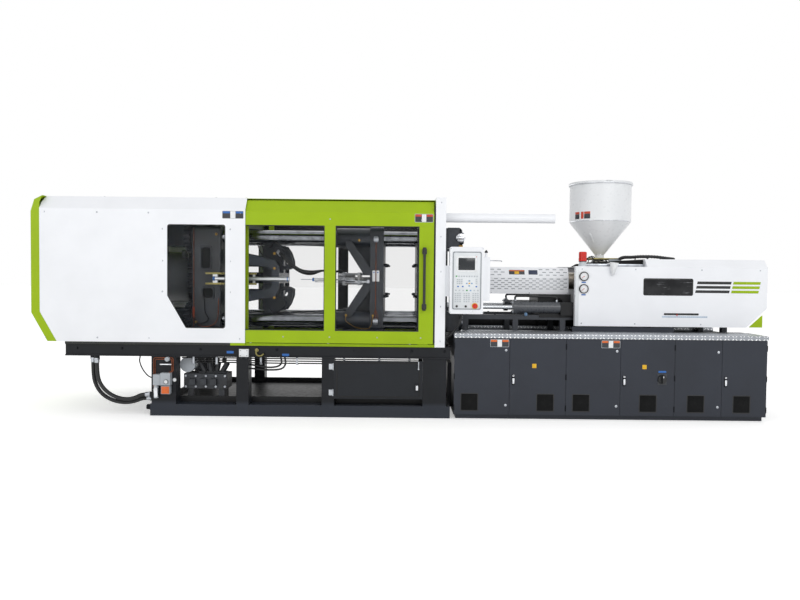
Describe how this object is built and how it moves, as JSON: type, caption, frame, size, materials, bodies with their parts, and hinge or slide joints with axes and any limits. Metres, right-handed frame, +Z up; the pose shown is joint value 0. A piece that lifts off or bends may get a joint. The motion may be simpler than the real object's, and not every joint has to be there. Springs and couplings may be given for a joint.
{
  "type": "injection moulding machine",
  "caption": "Horizontal injection moulding machine: toggle clamp behind sliding safety doors, heated barrel and hopper on a carriage, control panel and cabinet base.",
  "frame": {"origin": "on the floor, under the middle of the closed mould space on the machine's centre plane", "axes": "+X along the machine from the clamp end to the injection end, +Y from the operator's side to the back, +Z up"},
  "size_m": [7.374, 1.814, 2.414],
  "materials": {
    "white_paint": "satin",
    "green_paint": "satin",
    "dark_paint": "satin",
    "machine_grey": "painted casting",
    "bright_chrome": "polished",
    "ground_steel": "ground",
    "tread_metal": "tread pattern",
    "anodised": "anodised",
    "clear_pane": "clear",
    "hose_rubber": "matt",
    "black_plastic": "matt",
    "red_plastic": "gloss"
  },
  "bodies": {
    "base": {"clamp_base": "dark_paint", "drip_tray": "dark_paint", "guide_ways": "ground_steel", "cabinet_body": "dark_paint", "tread_plates": "tread_metal", "stationary_platen": "machine_grey", "tie_bars": "bright_chrome", "tie_bar_nuts": "machine_grey", "front_cover": "white_paint", "rear_cover": "white_paint", "cover_panes": "clear_pane", "end_cap": "green_paint", "guard_frame": "green_paint", "end_panels": "white_paint", "control_panel": "white_paint", "lube_unit": "white_paint", "valve_manifold": "dark_paint", "outer_hose": "hose_rubber", "inner_hose": "hose_rubber", "power_unit": "dark_paint"},
    "tail": {"tail_platen": "machine_grey", "clamp_cylinder": "ground_steel", "height_adjuster": "machine_grey", "guide_frame": "machine_grey", "stroke_transducer": "anodised"},
    "crosshead": {"crosshead": "machine_grey"},
    "rear_link_upper": {"rear_link_upper": "machine_grey"},
    "rear_link_lower": {"rear_link_lower": "machine_grey"},
    "front_link_upper": {"front_link_upper": "machine_grey"},
    "front_link_lower": {"front_link_lower": "machine_grey"},
    "crosshead_link_upper": {"crosshead_link_upper": "machine_grey"},
    "crosshead_link_lower": {"crosshead_link_lower": "machine_grey"},
    "moving": {"moving_platen": "machine_grey", "ejector_cylinder": "ground_steel"},
    "ejector": {"ejector": "ground_steel"},
    "front_door": {"front_door": "green_paint", "front_door_panes": "clear_pane", "front_door_handle": "black_plastic"},
    "rear_door": {"rear_door": "green_paint", "rear_door_panes": "clear_pane"},
    "drop_door": {"drop_door": "dark_paint"},
    "carriage": {"carriage_base": "dark_paint", "barrel": "ground_steel", "barrel_cover": "white_paint", "hopper": "white_paint", "injection_cover": "white_paint", "cylinders": "ground_steel", "beacon": "red_plastic"},
    "hopper_lid": {"hopper_lid": "white_paint"},
    "screw_drive": {"screw_drive": "machine_grey"},
    "screw": {"screw": "ground_steel"},
    "main_switch": {"main_switch": "black_plastic"},
    "stop_button": {"stop_button": "red_plastic"},
    "purge_guard": {"purge_guard": "white_paint"},
    "cabinet_door_1": {"cabinet_door_1": "dark_paint"},
    "cabinet_door_2": {"cabinet_door_2": "dark_paint"},
    "cabinet_door_3": {"cabinet_door_3": "dark_paint"},
    "cabinet_door_4": {"cabinet_door_4": "dark_paint"},
    "cabinet_door_5": {"cabinet_door_5": "dark_paint"},
    "cabinet_door_6": {"cabinet_door_6": "dark_paint"}
  },
  "joints": [
    {"name": "mould_height", "type": "slide", "parent": "base", "child": "tail", "axis": [-1, 0, 0], "range_m": [0, 0.35]},
    {"name": "clamp_open", "type": "slide", "parent": "tail", "child": "moving", "axis": [-1, 0, 0], "range_m": [0, 0.56647]},
    {"name": "crosshead_slide", "type": "slide", "parent": "tail", "child": "crosshead", "axis": [-1, 0, 0], "range_m": [0, 0.33]},
    {"name": "rear_link_upper_turn", "type": "hinge", "parent": "tail", "child": "rear_link_upper", "pos_m": [-1.64, 0, 1.813], "axis": [0, 1, 0], "range_deg": [0, 102.14]},
    {"name": "front_link_upper_turn", "type": "hinge", "parent": "moving", "child": "front_link_upper", "pos_m": [-0.54, 0, 1.758], "axis": [0, -1, 0], "range_deg": [0, 29.75]},
    {"name": "crosshead_link_upper_turn", "type": "hinge", "parent": "crosshead", "child": "crosshead_link_upper", "pos_m": [-1.2715, 0, 1.62584], "axis": [0, -1, 0], "range_deg": [0, 48.08]},
    {"name": "rear_link_lower_turn", "type": "hinge", "parent": "tail", "child": "rear_link_lower", "pos_m": [-1.64, 0, 0.903], "axis": [0, -1, 0], "range_deg": [0, 102.14]},
    {"name": "front_link_lower_turn", "type": "hinge", "parent": "moving", "child": "front_link_lower", "pos_m": [-0.54, 0, 0.958], "axis": [0, 1, 0], "range_deg": [0, 29.75]},
    {"name": "crosshead_link_lower_turn", "type": "hinge", "parent": "crosshead", "child": "crosshead_link_lower", "pos_m": [-1.2715, 0, 1.09016], "axis": [0, 1, 0], "range_deg": [0, 48.08]},
    {"name": "ejector_push", "type": "slide", "parent": "moving", "child": "ejector", "axis": [1, 0, 0], "range_m": [0, 0.1]},
    {"name": "front_door_slide", "type": "slide", "parent": "base", "child": "front_door", "axis": [-1, 0, 0], "range_m": [0, 1.6]},
    {"name": "rear_door_slide", "type": "slide", "parent": "base", "child": "rear_door", "axis": [-1, 0, 0], "range_m": [0, 1.6]},
    {"name": "drop_door_hinge", "type": "hinge", "parent": "base", "child": "drop_door", "pos_m": [-0.6397, -0.83, 0.37], "axis": [0, 0, -1], "range_deg": [0, 100]},
    {"name": "carriage_slide", "type": "slide", "parent": "base", "child": "carriage", "axis": [-1, 0, 0], "range_m": [0, 0.37]},
    {"name": "hopper_lid_hinge", "type": "hinge", "parent": "carriage", "child": "hopper_lid", "pos_m": [2.164, 0.3385, 2.4043], "axis": [-1, 0, 0], "range_deg": [0, 100]},
    {"name": "screw_stroke", "type": "slide", "parent": "carriage", "child": "screw_drive", "axis": [1, 0, 0], "range_m": [0, 0.28]},
    {"name": "screw_turn", "type": "hinge", "parent": "screw_drive", "child": "screw", "pos_m": [2.73, 0, 1.358], "axis": [1, 0, 0], "continuous": true},
    {"name": "main_switch_turn", "type": "hinge", "parent": "cabinet_door_4", "child": "main_switch", "pos_m": [2.571, -0.86, 0.41], "axis": [0, 1, 0], "range_deg": [0, 90]},
    {"name": "stop_button_push", "type": "slide", "parent": "base", "child": "stop_button", "axis": [0, 1, 0], "range_m": [0, 0.006], "stiffness_N_per_m": 1500},
    {"name": "purge_guard_hinge", "type": "hinge", "parent": "base", "child": "purge_guard", "pos_m": [0.8033, -0.874, 1.37], "axis": [0, 0, -1], "range_deg": [0, 90]},
    {"name": "cabinet_door_1_hinge", "type": "hinge", "parent": "base", "child": "cabinet_door_1", "pos_m": [0.5375, -0.85, 0.42], "axis": [0, 0, -1], "range_deg": [0, 90]},
    {"name": "cabinet_door_2_hinge", "type": "hinge", "parent": "base", "child": "cabinet_door_2", "pos_m": [1.6285, -0.85, 0.42], "axis": [0, 0, 1], "range_deg": [0, 90]},
    {"name": "cabinet_door_3_hinge", "type": "hinge", "parent": "base", "child": "cabinet_door_3", "pos_m": [1.6315, -0.85, 0.42], "axis": [0, 0, -1], "range_deg": [0, 90]},
    {"name": "cabinet_door_4_hinge", "type": "hinge", "parent": "base", "child": "cabinet_door_4", "pos_m": [2.6915, -0.85, 0.42], "axis": [0, 0, 1], "range_deg": [0, 75]},
    {"name": "cabinet_door_5_hinge", "type": "hinge", "parent": "base", "child": "cabinet_door_5", "pos_m": [2.6945, -0.85, 0.42], "axis": [0, 0, -1], "range_deg": [0, 75]},
    {"name": "cabinet_door_6_hinge", "type": "hinge", "parent": "base", "child": "cabinet_door_6", "pos_m": [3.5935, -0.85, 0.42], "axis": [0, 0, 1], "range_deg": [0, 90]}
  ],
  "couplings": [
    {"joint": "crosshead_slide", "follows": "clamp_open", "ratio": 0.58255},
    {"joint": "rear_link_upper_turn", "follows": "clamp_open", "rad_per_m": 3.1469},
    {"joint": "front_link_upper_turn", "follows": "clamp_open", "rad_per_m": 0.91661},
    {"joint": "crosshead_link_upper_turn", "follows": "clamp_open", "rad_per_m": 1.4815},
    {"joint": "rear_link_lower_turn", "follows": "clamp_open", "rad_per_m": 3.1469},
    {"joint": "front_link_lower_turn", "follows": "clamp_open", "rad_per_m": 0.91661},
    {"joint": "crosshead_link_lower_turn", "follows": "clamp_open", "rad_per_m": 1.4815}
  ]
}
